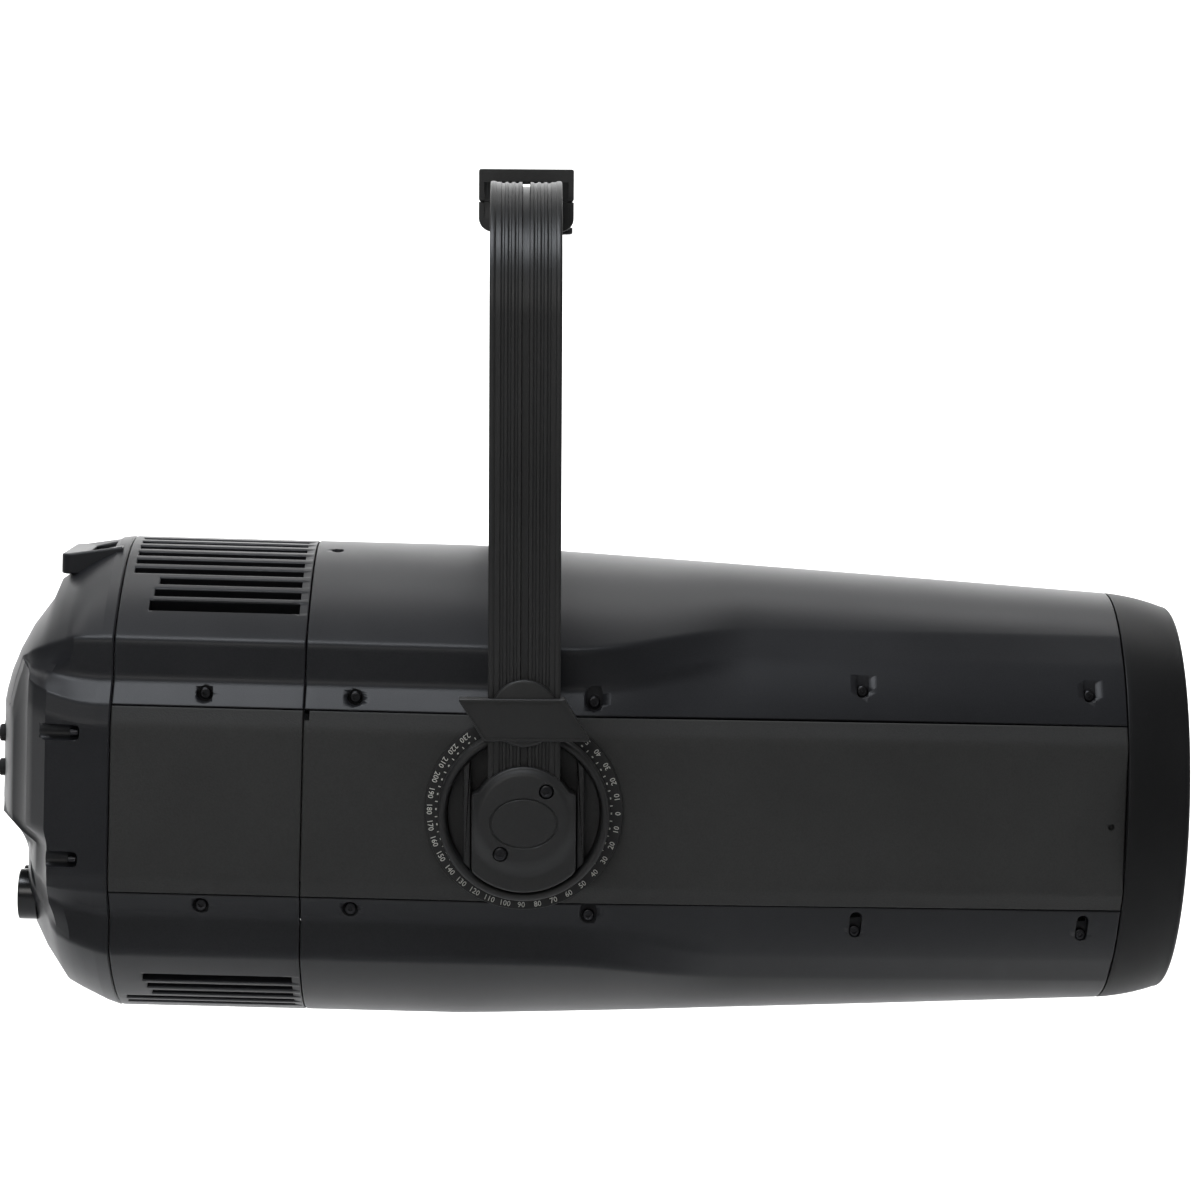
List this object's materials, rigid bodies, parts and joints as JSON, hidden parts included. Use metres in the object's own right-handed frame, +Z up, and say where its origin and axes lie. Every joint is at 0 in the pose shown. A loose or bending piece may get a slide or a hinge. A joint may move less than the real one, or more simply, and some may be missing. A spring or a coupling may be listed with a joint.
{
  "type": "stage spot luminaire",
  "caption": "Long-bodied black stage spotlight hung in a ribbed yoke, tilting on dialled hubs, with a round front lens, rear display hood and carrying handle.",
  "frame": {"origin": "centre of the hanging-bolt hole in the top face of the saddle", "axes": "+X towards the light exit, +Z up, +Y to the side of the tilt-lock knob; the tilt axis runs along Y, 359 mm below the origin"},
  "size_m": [0.6933, 0.3705, 0.4962],
  "materials": {
    "casing_black": "satin moulded black, fine grain, cool reflections on the curved tops",
    "panel_black": "fine sand texture, matt black with a warm cast",
    "ring_black": "satin black",
    "yoke_black": "satin black powder coat",
    "dial_black": "satin black with light grey degree marks",
    "connector_black": "semi-gloss black",
    "knob_rubber": "soft matt black",
    "lens_glass": "coated optical glass",
    "window_clear": "smoked clear window",
    "bright_steel": "ground steel",
    "black_steel": "black oxide",
    "alloy": "as made aluminium",
    "moulded_black": "matt moulded black",
    "circuit_board": "green solder mask"
  },
  "bodies": {
    "yoke": {"arm_badge_far": "casing_black", "arm_badge_near": "casing_black", "cover_screw_far_1": "black_steel", "cover_screw_far_2": "black_steel", "cover_screw_near_1": "black_steel", "cover_screw_near_2": "black_steel", "friction_washer_far": "knob_rubber", "friction_washer_near": "knob_rubber", "hub_cover_far": "casing_black", "hub_cover_near": "casing_black", "hub_cup_far": "casing_black", "hub_cup_near": "casing_black", "pivot_shaft_far": "bright_steel", "pivot_shaft_near": "bright_steel", "saddle_bottom": "yoke_black", "saddle_screw_1": "black_steel", "saddle_screw_2": "black_steel", "saddle_top": "yoke_black", "yoke_band": "yoke_black"},
    "housing": {"carry_handle": "yoke_black", "chassis_frame": "alloy", "control_board": "circuit_board", "data_inlet": "connector_black", "data_outlet": "connector_black", "display_hood": "casing_black", "display_window": "window_clear", "fan_frame": "moulded_black", "front_lens": "lens_glass", "front_ring": "ring_black", "guide_rod_far": "bright_steel", "guide_rod_near": "bright_steel", "heat_sink": "alloy", "led_board": "circuit_board", "lens_gasket": "knob_rubber", "light_tunnel": "alloy", "main_bottom_shell": "casing_black", "main_top_shell": "casing_black", "power_inlet": "connector_black", "power_outlet": "connector_black", "power_supply": "alloy", "rear_cap": "casing_black", "side_panel_far": "panel_black", "side_panel_near": "panel_black", "tilt_dial_far": "dial_black", "tilt_dial_near": "dial_black", "vent_bottom_shell": "casing_black", "vent_panel_far": "panel_black", "vent_panel_near": "panel_black", "vent_top_shell": "casing_black", "zoom_motor": "moulded_black"},
    "encoder": {"encoder_knob": "knob_rubber"},
    "menu_key": {"menu_button": "knob_rubber"},
    "enter_key": {"enter_button": "knob_rubber"},
    "fan": {"fan_rotor": "moulded_black"},
    "zoom_drive": {"lead_screw": "bright_steel"},
    "zoom_group": {"zoom_carriage": "moulded_black", "zoom_lens": "lens_glass"},
    "tilt_lock": {"tilt_lock_knob": "knob_rubber"}
  },
  "joints": [
    {"name": "tilt", "type": "hinge", "parent": "yoke", "child": "housing", "pos_m": [0, 0, -0.359], "axis": [0, 1, 0], "range_deg": [-60, 120]},
    {"name": "tilt_lock_turn", "type": "hinge", "parent": "yoke", "child": "tilt_lock", "pos_m": [0, 0.18, -0.359], "axis": [0, 1, 0], "range_deg": [0, 180]},
    {"name": "encoder_turn", "type": "hinge", "parent": "housing", "child": "encoder", "pos_m": [-0.30156, 0.052, -0.33615], "axis": [0.9997, 0, -0.0227], "continuous": true},
    {"name": "menu_press", "type": "slide", "parent": "housing", "child": "menu_key", "axis": [0.9997, 0, -0.0227], "range_m": [0, 0.0012], "stiffness_N_per_m": 600},
    {"name": "enter_press", "type": "slide", "parent": "housing", "child": "enter_key", "axis": [0.9997, 0, -0.0227], "range_m": [0, 0.0012], "stiffness_N_per_m": 600},
    {"name": "fan_spin", "type": "hinge", "parent": "housing", "child": "fan", "pos_m": [-0.20595, 0, -0.35433], "axis": [0.9997, 0, -0.0227], "continuous": true},
    {"name": "zoom_slide", "type": "slide", "parent": "housing", "child": "zoom_group", "axis": [0.9997, 0, -0.0227], "range_m": [-0.06, 0.09]},
    {"name": "lead_screw_turn", "type": "hinge", "parent": "housing", "child": "zoom_drive", "pos_m": [0.09879, 0, -0.41325], "axis": [0.9997, 0, -0.0227], "range_deg": [-800, 1200]}
  ],
  "couplings": [
    {"joint": "lead_screw_turn", "follows": "zoom_slide", "rad_per_m": 209.44}
  ]
}
